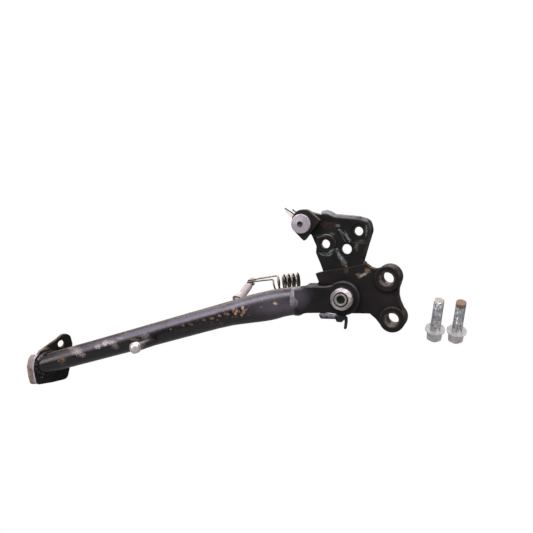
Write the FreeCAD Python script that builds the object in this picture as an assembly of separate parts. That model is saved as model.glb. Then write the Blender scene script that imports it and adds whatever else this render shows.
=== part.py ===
import FreeCAD, Part
import math
import os

# A hinged stand leg: a bracket with two mounting bores and an upper plate, a forked tubular leg
# on a pivot bolt, a foot plate, two tension springs and two loose mounting bolts.
# Millimetres. The working origin is on the pivot axis, in the middle of the bracket tongue.
# +X runs from the pivot to the mounting bores (right), +Y along the pivot axis towards the
# machine (rear), +Z up. Each piece is saved with the centre of the upper mounting bore as origin.

Vector = FreeCAD.Vector

# ---------------------------------------------------------------- driving dimensions
# Points in the XZ plane are (x, z).
PIVOT = (0.0, 0.0)
PIVOT_R = 6.0                # pivot bolt shank
BUSH_R = 8.0                 # outside of the bushing
RUN_GAP = 0.05               # running clearance of the pivot
TONGUE_HALF = 5.0            # half thickness of the bracket tongue
EAR_IN = 5.6                 # inner face of each fork ear, from the middle
EAR_OUT = 11.5               # outer face of each fork ear
EYE_R = 16.2                 # fork eye

MOUNT_R = 6.0                # mounting bores, clear M10
BOSS_R = 12.0
BOSS_FRONT = -8.0
BOSS_BACK = 16.0
UPPER_BORE = (40.2, 19.0)
LOWER_BORE = (45.3, -18.4)
BORES = (UPPER_BORE, LOWER_BORE)
ORIGIN = Vector(UPPER_BORE[0], 4.5, UPPER_BORE[1])

SHEET_FRONT = 5.0            # upper plate
SHEET_T = 4.0
SHEET_BACK = SHEET_FRONT + SHEET_T
FLANGE_BACK = 13.0
LEFT_HOLE = (-19.7, 48.6)
MIDDLE_HOLE = (0.3, 44.2)
RIGHT_HOLE = (11.3, 61.2)
SHEET_HOLES = ((LEFT_HOLE, 4.1), (MIDDLE_HOLE, 4.65), (RIGHT_HOLE, 4.05))   # centre, radius

GUIDE = (-42.1, 67.6)        # guide bolt axis
GUIDE_BORE_R = 3.05
TAB_FRONT = -1.0             # front of the guide tab
GUIDE_NUT_FRONT = SHEET_BACK + 1.6

TUBE_WALL = 2.6
FOOT_T = 5.0
FOOT_ORIGIN = Vector(-314.0, 0, -83.4)
FOOT_NORMAL = Vector(0.769, -0.639, 0).normalize()   # out of the face that carries the tube
FOOT_ALONG = Vector(0.639, 0.769, 0).normalize()     # level direction in that face

SPRING_Y = 25.5
BRACKET_POST = (14.07, 14.91)
BRACKET_POST_R = 2.5         # thin shank of the bracket's spring post
LEG_POST_BASE = Vector(-107.6, 5.5, -10.5)
LEG_POST_HOOK = Vector(-100.2, SPRING_Y, 5.6)        # where the springs hook on
LEG_POST_DIR = (LEG_POST_HOOK - LEG_POST_BASE).normalize()
LEG_POST_LENGTH = (LEG_POST_HOOK - LEG_POST_BASE).Length
LEG_POST_R = 3.9

WASHER_T = 1.6
WASHER_BACK = EAR_OUT + WASHER_T
NUT_BACK = -EAR_OUT - WASHER_T
NUT_FRONT = NUT_BACK - 7.0

os.makedirs("parts", exist_ok=True)


# ---------------------------------------------------------------- helpers
def save(name, shape):
    placed = shape.copy()
    placed.translate(ORIGIN * -1)
    placed.exportStep("parts/" + name + ".step")


def rounded_wire(outline, place):
    """Closed wire through (a, b, corner radius) points; place maps flat points into space."""
    corners = []             # arc start, arc middle (None when sharp), arc end
    for i, (b_x, b_y, radius) in enumerate(outline):
        corner = Vector(b_x, b_y, 0)
        before = Vector(*outline[i - 1][:2], 0) - corner
        after = Vector(*outline[(i + 1) % len(outline)][:2], 0) - corner
        before_length, after_length = before.Length, after.Length
        before.normalize()
        after.normalize()
        angle = before.getAngle(after)
        if radius <= 0 or angle > math.pi - 1e-3:
            corners.append((corner, None, corner))
            continue
        # an arc takes at most 0.48 of either side
        setback = min(radius / math.tan(angle / 2), 0.48 * before_length, 0.48 * after_length)
        radius = setback * math.tan(angle / 2)
        bisector = (before + after).normalize()
        centre = corner + bisector * (radius / math.sin(angle / 2))
        corners.append((corner + before * setback, centre - bisector * radius,
                        corner + after * setback))
    edges = []
    for i, (start, middle, end) in enumerate(corners):
        if middle is not None:
            edges.append(Part.Arc(place(start), place(middle), place(end)).toShape())
        following = corners[(i + 1) % len(corners)][0]
        if (following - end).Length > 1e-6:
            edges.append(Part.makeLine(place(end), place(following)))
    return Part.Wire(edges)


def prism_y(outline, y_from, y_to):
    """Solid between two y planes over an (x, z, corner radius) outline."""
    wire = rounded_wire(outline, lambda p: Vector(p.x, y_from, p.y))
    return Part.Face(wire).extrude(Vector(0, y_to - y_from, 0))


def cyl_y(centre, radius, y_from, y_to):
    base = Vector(centre[0], y_from, centre[1])
    return Part.makeCylinder(radius, y_to - y_from, base, Vector(0, 1, 0))


def cone_y(centre, radius_from, radius_to, y_from, y_to):
    base = Vector(centre[0], y_from, centre[1])
    return Part.makeCone(radius_from, radius_to, y_to - y_from, base, Vector(0, 1, 0))


def hexagon_y(centre, across, y_from, y_to, turn=0.0):
    """Hexagonal prism, sized across its flats."""
    corner_r = across / math.sqrt(3)
    points = []
    for i in range(6):
        angle = turn + math.pi / 6 + i * math.pi / 3
        points.append(Vector(centre[0] + corner_r * math.cos(angle), y_from,
                             centre[1] + corner_r * math.sin(angle)))
    points.append(points[0])
    return Part.Face(Part.makePolygon(points)).extrude(Vector(0, y_to - y_from, 0))


def try_fillet(shape, radius, edges):
    """The filleted shape, or None when the fillet fails or comes out invalid."""
    try:
        rounded = shape.makeFillet(radius, edges)
        if rounded.isValid() and rounded.Volume > 0:
            return rounded
    except Exception:        # the fillet can fail on tight or missing edges
        pass
    return None


def soften(shape, radius, keep):
    """Round the edges for which keep(edge) is true, with a smaller radius if need be."""
    edges = [edge for edge in shape.Edges if keep(edge)]
    for scale in (1.0, 0.7, 0.45):
        rounded = try_fillet(shape, radius * scale, edges)
        if rounded is not None:
            return rounded
    return shape


def on_plane(y):
    """Edge test: the edge lies in the plane at y."""
    def keep(edge):
        box = edge.BoundBox
        return abs(box.YMin - y) < 0.01 and abs(box.YMax - y) < 0.01
    return keep


def start_distance(edge, centre):
    """Distance in XZ from centre to the start of an edge."""
    start = edge.valueAt(edge.FirstParameter)
    return math.hypot(start.x - centre[0], start.z - centre[1])


def is_circle(edge):
    return edge.Curve.TypeId == "Part::GeomCircle"


def largest(shape):
    return max(shape.Solids, key=lambda solid: solid.Volume)


def merged(shape):
    """Largest solid, with its coplanar faces joined."""
    return largest(shape.removeSplitter())


def wire_solid(points, radius):
    """Round wire along a smooth curve through the points, as a chain of short ruled lengths."""
    curve = Part.BSplineCurve()
    curve.interpolate(points)
    total = curve.length()
    count = int(total / 2.1)
    across, sections = None, []
    for i in range(count + 1):
        at = curve.parameterAtDistance(total * i / count) if i < count else curve.LastParameter
        tangent = curve.tangent(at)[0]
        if across is None:
            across = tangent.cross(Vector(0, 1, 0.1)).normalize()
        # carry the seam direction along, so the lengths do not twist
        across = (across - tangent * across.dot(tangent)).normalize()
        circle = Part.Circle(curve.value(at), tangent, radius)
        circle.XAxis = across
        sections.append(Part.Wire([circle.toShape()]))
    solid = Part.makeLoft(sections, True, True)
    if solid.Volume < 0:
        solid.reverse()
    return solid


def ellipse_section(x, z_middle, half_y, half_z):
    """Upright ellipse in a plane of constant x."""
    ellipse = Part.Ellipse(Vector(x, 0, z_middle + half_z), Vector(x, half_y, z_middle),
                           Vector(x, 0, z_middle))
    return Part.Wire([ellipse.toShape()])


# ---------------------------------------------------------------- bracket and bushing
# x, z, corner radius
BRACKET_OUTLINE = [
    (-2.0, -15.0, 0), (24.4, -14.0, 3), (30.0, -18.6, 4), (36.2, -26.2, 0), (45.3, -18.4, 0),
    (54.5, -10.2, 0), (51.0, -2.6, 3), (49.6, 3.0, 6), (49.8, 9.0, 6), (51.6, 14.0, 0),
    (40.2, 19.0, 0), (33.0, 28.4, 0), (29.0, 27.4, 3), (24.5, 28.6, 3), (20.2, 31.8, 1.2),
    (1.7, 27.2, 3), (-19.6, 23.4, 1), (-27.2, 21.4, 0.3), (-23.9, 13.6, 0.4),
    (-25.6, 12.3, 0.3), (-23.9, 11.35, 0.3), (-13.0, 11.6, 2.5), (-6.0, 8.0, 0), (-4.0, -8.0, 0),
]
WEB_OUTLINE = [
    (30.0, 6.0, 4), (35.0, -8.0, 4), (36.2, -26.2, 0), (45.3, -18.4, 0), (54.5, -10.2, 0),
    (51.0, -2.6, 3), (49.6, 3.0, 6), (49.8, 9.0, 6), (51.6, 14.0, 0), (40.2, 19.0, 0),
    (32.8, 28.2, 0), (29.0, 20.0, 3),
]


def boss_root(edge):
    """Arc where a boss rises from the front face of the bracket."""
    return on_plane(-TONGUE_HALF)(edge) and any(
        abs(start_distance(edge, bore) - BOSS_R) < 0.05 and is_circle(edge)
        and abs(edge.Curve.Radius - BOSS_R) < 0.05 for bore in BORES)


def bracket_body():
    bracket = cyl_y(PIVOT, 15.0, -TONGUE_HALF, TONGUE_HALF).fuse([
        prism_y(BRACKET_OUTLINE, -TONGUE_HALF, TONGUE_HALF),
        prism_y(WEB_OUTLINE, 3.0, 12.0)])
    for bore in BORES:
        boss = cyl_y(bore, BOSS_R, BOSS_FRONT, BOSS_BACK)
        boss = soften(boss, 1.4, on_plane(BOSS_FRONT))
        boss = soften(boss, 0.8, on_plane(BOSS_BACK))
        bracket = bracket.fuse([boss])
    bracket = merged(bracket)
    blended = try_fillet(bracket, 1.6, [edge for edge in bracket.Edges if boss_root(edge)])
    if blended is not None:
        bracket = blended
    for bore in BORES:
        bracket = bracket.cut(cyl_y(bore, MOUNT_R, BOSS_FRONT - 1, BOSS_BACK + 1))
        bracket = bracket.cut(
            cone_y(bore, MOUNT_R + 1.4, MOUNT_R, BOSS_FRONT - 0.4, BOSS_FRONT + 1.0))
    bracket = bracket.cut(cyl_y(PIVOT, BUSH_R + 0.01, -6, 6))
    # blind hole for the spring post
    bracket = bracket.cut(cyl_y(BRACKET_POST, BRACKET_POST_R + 0.01, 1.0, 6.0))
    return merged(bracket)


def pivot_bushing():
    half_length = TONGUE_HALF + 0.25
    return cyl_y(PIVOT, BUSH_R, -half_length, half_length).cut(
        cyl_y(PIVOT, PIVOT_R + RUN_GAP, -6, 6))


# ---------------------------------------------------------------- upper plate (pressed sheet)
# x, z, corner radius
SHEET_OUTLINE = [
    (-24.5, 79.4, 0), (-20.5, 80.4, 3), (-16.5, 79.3, 5), (-11.5, 76.5, 6), (11.5, 74.9, 10),
    (22.2, 71.9, 9), (24.4, 62.0, 9), (20.6, 49.0, 10), (16.4, 34.0, 2), (15.9, 19.2, 2),
    (-21.0, 19.2, 2), (-24.5, 29.0, 0),
]
# hollow behind the sheet, which leaves the flange along its top and right
HOLLOW_OUTLINE = [
    (-60.0, 75.2, 0), (-21.2, 76.0, 2), (-16.8, 75.6, 2), (-12.0, 72.8, 5), (10.4, 71.2, 7),
    (18.6, 68.8, 6), (20.4, 61.8, 6), (16.8, 49.8, 8), (12.6, 34.5, 2), (12.2, 10.0, 0),
    (-60.0, 10.0, 0),
]
ARM_OUTLINE = [
    (-15.0, 19.2, 0), (-21.0, 19.2, 2), (-24.6, 29.0, 3), (-29.4, 40.0, 4), (-28.8, 46.0, 4),
    (-34.0, 57.6, 3), (-44.0, 58.5, 6), (-50.2, 67.0, 9), (-42.6, 81.2, 6), (-31.0, 77.8, 6),
    (-15.0, 74.4, 0),
]
PAD_OUTLINE = [
    (-29.5, 54.4, 2), (-15.5, 58.2, 3), (-11.6, 52.0, 4), (-13.2, 42.6, 5), (-22.0, 39.4, 5),
    (-26.6, 43.6, 3),
]
# start x, z; end x, z; radius; height in front of the sheet
RIBS = (
    (-7.0, 61.0, 3.4, 51.4, 2.4, 1.1),
    (-9.2, 42.6, -1.0, 31.2, 2.8, 1.2),
)


def flange_edge(edge):
    """Front edge of the sheet along its top and right."""
    box = edge.BoundBox
    return (on_plane(SHEET_FRONT)(edge) and box.ZMin > 33.5 and box.XMax > -21
            and (box.ZMin > 70 or box.XMin > 15))


def arm_edge(edge):
    return on_plane(SHEET_FRONT)(edge) and edge.BoundBox.XMin < -15.5


def left_pad():
    """Raised pad round the left hole."""
    front, back = SHEET_FRONT - 1.4, SHEET_FRONT + 0.5
    pad = prism_y(PAD_OUTLINE, front, back)
    pad = merged(pad.fuse(cyl_y((LEFT_HOLE[0] + 0.6, LEFT_HOLE[1]), 9.4, front, back)))
    return soften(pad, 1.1, on_plane(front))


def rib(start_x, start_z, end_x, end_z, radius, height):
    """Round-ended bar sunk in the sheet, trimmed short of the sheet's rear face."""
    direction = Vector(end_x - start_x, 0, end_z - start_z)
    length = direction.Length
    direction.normalize()
    start = Vector(start_x, SHEET_FRONT + radius - height, start_z)
    bar = Part.makeCylinder(radius, length, start, direction)
    bar = bar.fuse([Part.makeSphere(radius, start),
                    Part.makeSphere(radius, start + direction * length)])
    trim_front = SHEET_FRONT - height - 3
    trim_depth = SHEET_BACK - 0.5 - trim_front
    return bar.common(Part.makeBox(300, trim_depth, 300, Vector(-150, trim_front, -50)))


def upper_plate():
    sheet = prism_y(SHEET_OUTLINE, SHEET_FRONT, FLANGE_BACK)
    sheet = soften(sheet, 4.2, flange_edge)
    sheet = sheet.cut(prism_y(HOLLOW_OUTLINE, SHEET_BACK, FLANGE_BACK + 1))
    # flat arm towards the guide bolt, without a flange
    arm = soften(prism_y(ARM_OUTLINE, SHEET_FRONT, SHEET_BACK), 1.0, arm_edge)
    sheet = merged(sheet.fuse(arm))
    sheet = sheet.fuse(left_pad())
    sheet = sheet.cut(cyl_y(LEFT_HOLE, 6.3, SHEET_FRONT - 3, SHEET_FRONT - 0.7))
    for sizes in RIBS:
        sheet = sheet.fuse(rib(*sizes))
    # shallow recesses round the right and middle holes
    sheet = sheet.cut(cyl_y(RIGHT_HOLE, 7.2, SHEET_FRONT - 1, SHEET_FRONT + 0.8))
    sheet = sheet.cut(cyl_y(MIDDLE_HOLE, 7.0, SHEET_FRONT - 3, SHEET_FRONT + 0.35))
    for hole, radius in SHEET_HOLES:
        sheet = sheet.cut(cyl_y(hole, radius, SHEET_FRONT - 4, SHEET_BACK + 2))
    return merged(sheet.cut(cyl_y(GUIDE, GUIDE_BORE_R, 0, 20)))


def plate_weld_right(sheet, bracket):
    """Row of overlapping droplets up the right end of the joint, trimmed by both pieces."""
    radius, pitch = 2.0, 2.0
    path = [Vector(x, SHEET_FRONT + 0.6, z) for x, z in ((16.9, 21.5), (17.3, 27.0), (17.7, 31.6))]
    drops = []
    for start, end in zip(path, path[1:]):
        count = max(1, int(round((end - start).Length / pitch)))
        for j in range(count):
            swell = 1.0 + 0.125 * math.sin(2.1 * len(drops))
            drops.append(Part.makeSphere(radius * swell, start + (end - start) * (j / count)))
    drops.append(Part.makeSphere(radius, path[-1]))
    bead = drops[0]
    for drop in drops[1:]:
        bead = bead.fuse(drop)
    return largest(bead.cut(sheet).cut(bracket))


def plate_weld_rear():
    """Bead under the sheet's lower edge, on the rear face of the bracket."""
    radius, length = 1.9, 24.0
    left = Vector(-19.0, SHEET_FRONT + 0.4, 18.9)
    along = Vector(1, 0, 0)
    bead = Part.makeCylinder(radius, length, left, along).fuse([
        Part.makeSphere(radius, left), Part.makeSphere(radius, left + along * length)])
    bead = bead.cut(Part.makeBox(60, 10, 20, Vector(-40, SHEET_FRONT - 10, 10)))
    bead = bead.cut(Part.makeBox(60, 10, 20, Vector(-40, SHEET_FRONT - 1, 19.2)))
    return merged(bead)


# ---------------------------------------------------------------- guide tab, bolt, nut, clip
# x, z, corner radius
TAB_OUTLINE = [
    (-23.9, 71.0, 1.5), (-39.5, 51.0, 1.5), (-50.4, 61.8, 9), (-51.8, 74.0, 9),
    (-45.6, 80.6, 8), (-36.2, 81.2, 8),
]
STRIP_OUTLINE = [
    (-60.6, 79.3, 0.4), (-59.8, 78.2, 0.4), (-52.0, 71.6, 0.4), (-49.4, 72.0, 0.4),
    (-49.6, 74.4, 0.4),
]
# x, y, z along the bent wire
CLIP_PATH = [
    (-60.9, 10.2, 81.4), (-57.0, 10.1, 79.0), (-53.0, 10.0, 76.6), (-50.0, 9.95, 73.0),
    (-49.4, 9.9, 67.5), (-45.5, 9.9, 61.0), (-40.0, 9.9, 60.3), (-36.0, 9.9, 63.5),
    (-34.8, 9.9, 69.0), (-37.5, 9.9, 73.8), (-43.0, 10.0, 76.2), (-48.5, 10.0, 77.4),
    (-53.4, 10.2, 80.4),
]


def guide_tab():
    tab = prism_y(TAB_OUTLINE, TAB_FRONT, SHEET_FRONT - 0.02)
    tab = soften(tab, 0.9, on_plane(TAB_FRONT))
    return tab.cut(cyl_y(GUIDE, GUIDE_BORE_R, -3, 8))


def guide_bolt():
    """Low, broad head with a hex socket a little off centre."""
    head_front = TAB_FRONT - 3.2
    head = soften(cyl_y(GUIDE, 9.2, head_front, TAB_FRONT), 0.9, on_plane(head_front))
    bolt = head.fuse(cyl_y(GUIDE, 3.0, TAB_FRONT - 0.5, 17.0))
    socket = (GUIDE[0] - 0.6, GUIDE[1] - 0.3)
    return merged(bolt.cut(hexagon_y(socket, 5.0, TAB_FRONT - 4, TAB_FRONT - 0.9)))


def guide_nut():
    nut = hexagon_y(GUIDE, 10.0, GUIDE_NUT_FRONT, GUIDE_NUT_FRONT + 5.0)
    nut = nut.common(cone_y(GUIDE, 8.2, 5.0, GUIDE_NUT_FRONT, 18.5))
    return merged(nut.cut(cyl_y(GUIDE, 3.02, 8, 18)))


def guide_washer():
    washer = cyl_y(GUIDE, 6.2, SHEET_BACK, GUIDE_NUT_FRONT).cut(cyl_y(GUIDE, GUIDE_BORE_R, 8, 12))
    return soften(washer, 0.3, on_plane(GUIDE_NUT_FRONT))


def wire_clip():
    """Bent wire behind the arm of the sheet; both free ends point up and left."""
    return wire_solid([Vector(*point) for point in CLIP_PATH], 0.65)


def clip_strip(sheet):
    return merged(prism_y(STRIP_OUTLINE, 7.3, 8.9).cut(sheet))


# ---------------------------------------------------------------- leg tube
# x, z of the top, z of the bottom, half width in y
TUBE_STATIONS = [
    (-330.0, -77.8, -98.8, 10.1),
    (-277.0, -61.3, -82.9, 10.3),
    (-231.0, -46.6, -69.1, 10.7),
    (-187.0, -32.6, -55.8, 11.1),
    (-144.6, -19.0, -42.8, 11.4),
    (-113.3, -9.0, -33.6, 11.6),
    (-92.0, -1.9, -29.6, 11.3),
    (-79.0, 1.6, -27.4, 11.0),
    (-68.0, 4.3, -25.0, 10.9),
    (-57.0, 6.4, -21.4, 10.9),
    (-46.5, 7.6, -19.2, 10.8),
]
# x of the lofted sections
TUBE_SECTIONS = [-330.0, -254.0, -187.0, -150.0, -124.0, -110.0, -102.0, -95.0, -89.0, -83.0,
                 -77.0, -71.0, -65.0, -59.0, -53.0, -46.5]


def station_slope(index, column):
    low = TUBE_STATIONS[max(index - 1, 0)]
    high = TUBE_STATIONS[min(index + 1, len(TUBE_STATIONS) - 1)]
    return (high[column] - low[column]) / (high[0] - low[0])


def tube_at(x):
    """Smooth (cubic Hermite) reading of the station table: x, top, bottom, half width."""
    i = 0
    while i < len(TUBE_STATIONS) - 2 and x > TUBE_STATIONS[i + 1][0]:
        i += 1
    here, beyond = TUBE_STATIONS[i], TUBE_STATIONS[i + 1]
    span = beyond[0] - here[0]
    t = (x - here[0]) / span
    reading = [x]
    for column in (1, 2, 3):
        reading.append((2 * t**3 - 3 * t**2 + 1) * here[column]
                       + (t**3 - 2 * t**2 + t) * station_slope(i, column) * span
                       + (-2 * t**3 + 3 * t**2) * beyond[column]
                       + (t**3 - t**2) * station_slope(i + 1, column) * span)
    return reading


def tube_loft(inset_y, inset_z):
    """Loft through the tube's sections, drawn in by the two insets."""
    return Part.makeLoft(
        [ellipse_section(x, (top + bottom) / 2, half_y - inset_y, (top - bottom) / 2 - inset_z)
         for x, top, bottom, half_y in map(tube_at, TUBE_SECTIONS)], True, True)


def behind_foot():
    """Block filling the space behind the foot's visible face."""
    block = Part.makeBox(160, 160, 80, Vector(-80, -80, -80))
    turn = FreeCAD.Rotation(FOOT_ALONG, Vector(0, 0, 1), FOOT_NORMAL, "ZXY")
    block.Placement = FreeCAD.Placement(FOOT_ORIGIN, turn)
    return block


# ---------------------------------------------------------------- fork
# x, z, corner radius
FORK_OUTLINE = [
    (-46.4, 6.6, 2), (-40.0, 7.6, 4), (-35.5, 10.3, 2), (-15.9, 10.9, 6), (-9.0, 12.4, 0),
    (0, 0, 0), (-6.0, -14.6, 0), (-13.0, -14.4, 4), (-34.0, -15.6, 4), (-41.0, -17.2, 4),
    (-46.4, -18.3, 2),
]
# fills the corners between the eye and the ears
NECK_OUTLINE = [
    (-11.0, 10.9, 0), (-5.0, 15.4, 0), (0, 0, 0), (-5.0, -15.4, 0), (-12.0, -14.4, 0),
    (-20.0, -8, 0), (-20, 6, 0),
]
# x, how far the weld stands proud of the tube's end
FORK_WELD_SECTIONS = ((-52.4, -0.8), (-50.2, 0.45), (-47.6, 1.0), (-45.0, 1.25), (-42.8, 1.0),
                      (-40.4, -0.3))


def fork_rim(y):
    """Edge test: outer rim of the ear face at y, leaving out the pivot bore."""
    return lambda edge: on_plane(y)(edge) and start_distance(edge, PIVOT) > 8.0


def leg_fork():
    fork = prism_y(FORK_OUTLINE, -EAR_OUT, EAR_OUT).fuse([
        cyl_y(PIVOT, EYE_R, -EAR_OUT, EAR_OUT),
        prism_y(NECK_OUTLINE, -EAR_OUT, EAR_OUT)])
    fork = merged(fork)
    slot = cyl_y(PIVOT, 27.4, -EAR_IN, EAR_IN).fuse(
        Part.makeBox(40, 2 * EAR_IN, 60, Vector(0, -EAR_IN, -30))).removeSplitter()
    fork = merged(fork.cut(slot))
    fork = merged(fork.cut(cyl_y(PIVOT, PIVOT_R + 0.03, -20, 20)))
    fork = soften(fork, 2.1, fork_rim(-EAR_OUT))
    rear_rim = fork_rim(EAR_OUT)
    fork = fork.makeChamfer(1.0, [edge for edge in fork.Edges if rear_rim(edge)])
    # spigot that enters the tube
    spigot = Part.Face(ellipse_section(-52.5, -5.85, 7.7, 9.9)).extrude(Vector(8.5, 0, 0))
    return merged(fork.fuse(spigot))


def weld_section(x, proud, count=30):
    """Lumpy closed outline round the tube's end, square to X."""
    points = []
    for i in range(count):
        angle = 2 * math.pi * i / count
        swell = proud * (1.0 + 0.24 * math.sin(5 * angle + 0.6 + 0.2 * x)
                         + 0.14 * math.sin(9 * angle + 1.0 - 0.3 * x))
        points.append(Vector(x, (10.6 + swell) * math.cos(angle),
                             -5.95 + (12.9 + swell) * math.sin(angle)))
    points.append(points[0])
    return Part.makePolygon(points)


def fork_weld(solid_tube, fork):
    """Lumpy ring where the tube meets the fork."""
    bead = Part.makeLoft([weld_section(*section) for section in FORK_WELD_SECTIONS], True, True)
    if bead.Volume < 0:
        bead.reverse()
    return merged(bead.cut(solid_tube).cut(fork))


# ---------------------------------------------------------------- foot
# distance along the face, height, corner radius
FOOT_OUTLINE = [
    (-14.4, -14.0, 6), (-15.8, -2.0, 6), (-13.8, 6.2, 5), (-8.2, 13.6, 1.5), (10.0, 23.8, 4),
    (16.4, 28.6, 7), (24.2, 28.0, 7), (26.8, 17.6, 5), (25.4, 6.0, 6), (23.6, -6.0, 6),
    (20.2, -19.6, 6), (4.0, -21.2, 6), (-12.2, -21.6, 2),
]
TOE_OUTLINE = [
    (-12.5, -21.2, 3), (-14.4, -14.0, 6), (-15.8, -2.0, 6), (-13.9, 6.0, 5), (-10.6, 10.4, 1.5),
    (-5.4, 7.2, 0), (-8.6, 2.8, 3), (-9.8, -2.0, 4), (-8.4, -13.2, 4), (-6.4, -21.2, 0),
]
TOE_WIDTH = 8.8
TOE_BEND = math.radians(38)
FOOT_HOLE = Vector(14.5, 18.6, 0)    # along the face, height


def foot_at(point):
    """Place a flat point (distance along, height) on the foot's visible face."""
    return FOOT_ORIGIN + FOOT_ALONG * point.x + Vector(0, 0, point.y)


def at_depth(edge, depth):
    """True when the edge lies at one depth behind the visible face."""
    span = edge.LastParameter - edge.FirstParameter
    points = [edge.valueAt(edge.FirstParameter + span * k / 4.0) for k in range(5)]
    return max(abs((p - FOOT_ORIGIN).dot(FOOT_NORMAL) + depth) for p in points) < 0.02


def toe_end(edge):
    return at_depth(edge, TOE_WIDTH * math.sin(TOE_BEND))


def foot_front_edge(edge):
    """Edge of the visible face, leaving out the hole."""
    if not at_depth(edge, 0.0):
        return False
    centre = edge.CenterOfMass - FOOT_ORIGIN
    return not (abs(centre.dot(FOOT_ALONG) - FOOT_HOLE.x) < 1.0
                and abs(centre.z - FOOT_HOLE.y) < 1.0)


def foot_plate():
    foot = Part.Face(rounded_wire(FOOT_OUTLINE, foot_at)).extrude(FOOT_NORMAL * -FOOT_T)
    # rim turned back along the front edge
    toe_dir = (FOOT_ALONG * -math.cos(TOE_BEND) - FOOT_NORMAL * math.sin(TOE_BEND)).normalize()
    toe = Part.Face(rounded_wire(TOE_OUTLINE, foot_at)).extrude(toe_dir * TOE_WIDTH)
    foot = foot.fuse(soften(toe, 1.2, toe_end))
    hole_start = foot_at(FOOT_HOLE) - FOOT_NORMAL * 10
    foot = merged(foot.cut(Part.makeCylinder(3.9, 20, hole_start, FOOT_NORMAL)))
    return soften(foot, 0.8, foot_front_edge)


def foot_weld(solid_tube, foot, behind):
    """Droplets round the tube's oblique end."""
    count = 40
    tube_dir = Vector(0.9557, 0, 0.2943)
    half_y = 10.3
    half_z = 10.7 / math.cos(math.atan(0.308))
    drops = []
    for i in range(count):
        angle = 2 * math.pi * i / count
        ring = Vector(0, half_y * math.cos(angle), half_z * math.sin(angle))
        # travel along the tube until the foot face is met
        travel = -ring.dot(FOOT_NORMAL) / tube_dir.dot(FOOT_NORMAL)
        centre = FOOT_ORIGIN + ring + tube_dir * travel + FOOT_NORMAL * 0.3
        drops.append(Part.makeSphere(2.1 + 0.35 * math.sin(2.4 * i), centre))
    bead = drops[0].fuse(drops[1:])
    return merged(bead.cut(solid_tube).cut(foot).cut(behind))


# ---------------------------------------------------------------- kick peg
def kick_peg(solid_tube):
    """Peg out of the front of the tube, with a domed cap."""
    root, tip = Vector(-190.4, -7.5, -51.8), Vector(-197.1, -38.6, -52.4)
    shank_r, cap_r, cap_t = 4.1, 5.5, 2.4
    direction = (tip - root).normalize()
    cap_base = tip - direction * cap_t
    peg = Part.makeCylinder(shank_r, (tip - root).Length, root, direction)
    dome = Part.makeSphere(7.0, tip - direction * 2.6).common(
        Part.makeCylinder(cap_r, 8.0, cap_base, direction))
    peg = peg.fuse([dome, Part.makeCylinder(cap_r, cap_t, cap_base, direction),
                    Part.makeCone(shank_r, cap_r, 1.8, tip - direction * 4.2, direction)])
    return merged(peg.cut(solid_tube))


# ---------------------------------------------------------------- spring posts
def along_leg_post(distance):
    return LEG_POST_BASE + LEG_POST_DIR * distance


def leg_spring_post(solid_tube):
    neck_r = 2.0
    shoulder = LEG_POST_LENGTH - 3.6
    post = Part.makeCylinder(LEG_POST_R, shoulder, LEG_POST_BASE, LEG_POST_DIR).fuse([
        Part.makeCone(LEG_POST_R, neck_r, 1.0, along_leg_post(shoulder), LEG_POST_DIR),
        Part.makeCylinder(neck_r, LEG_POST_LENGTH + 4.4, LEG_POST_BASE, LEG_POST_DIR),
        Part.makeCylinder(2.9, 2.2, along_leg_post(LEG_POST_LENGTH + 3.9), LEG_POST_DIR)])
    post = merged(post.cut(solid_tube))

    def head_rim(edge):
        return (is_circle(edge) and edge.Curve.Radius > 2.6 and
                (edge.CenterOfMass - LEG_POST_BASE).dot(LEG_POST_DIR) > LEG_POST_LENGTH + 5)

    return soften(post, 0.6, head_rim)


def post_weld(solid_tube):
    """Conical collar round the root of the leg's post."""
    collar = Part.makeCone(6.6, 4.0, 8.4, along_leg_post(2.0), LEG_POST_DIR).cut(solid_tube)
    return largest(collar.cut(
        Part.makeCylinder(LEG_POST_R + 0.02, 60, along_leg_post(-5), LEG_POST_DIR)))


def bracket_spring_post():
    head_back = 31.4
    post = cyl_y(BRACKET_POST, 3.5, TONGUE_HALF + 0.01, 22.8).fuse([
        cyl_y(BRACKET_POST, BRACKET_POST_R, 1.2, 30.0),
        cyl_y(BRACKET_POST, 3.9, 29.0, head_back)])
    return soften(merged(post), 0.6, on_plane(head_back))


# ---------------------------------------------------------------- springs
COIL_SLOPE = math.atan(0.15)
COIL_DIR = Vector(math.cos(COIL_SLOPE), 0, math.sin(COIL_SLOPE))
COIL_UP = Vector(-math.sin(COIL_SLOPE), 0, math.cos(COIL_SLOPE))
COIL_MIDDLE = Vector(-59.5, SPRING_Y, 7.0)


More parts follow.
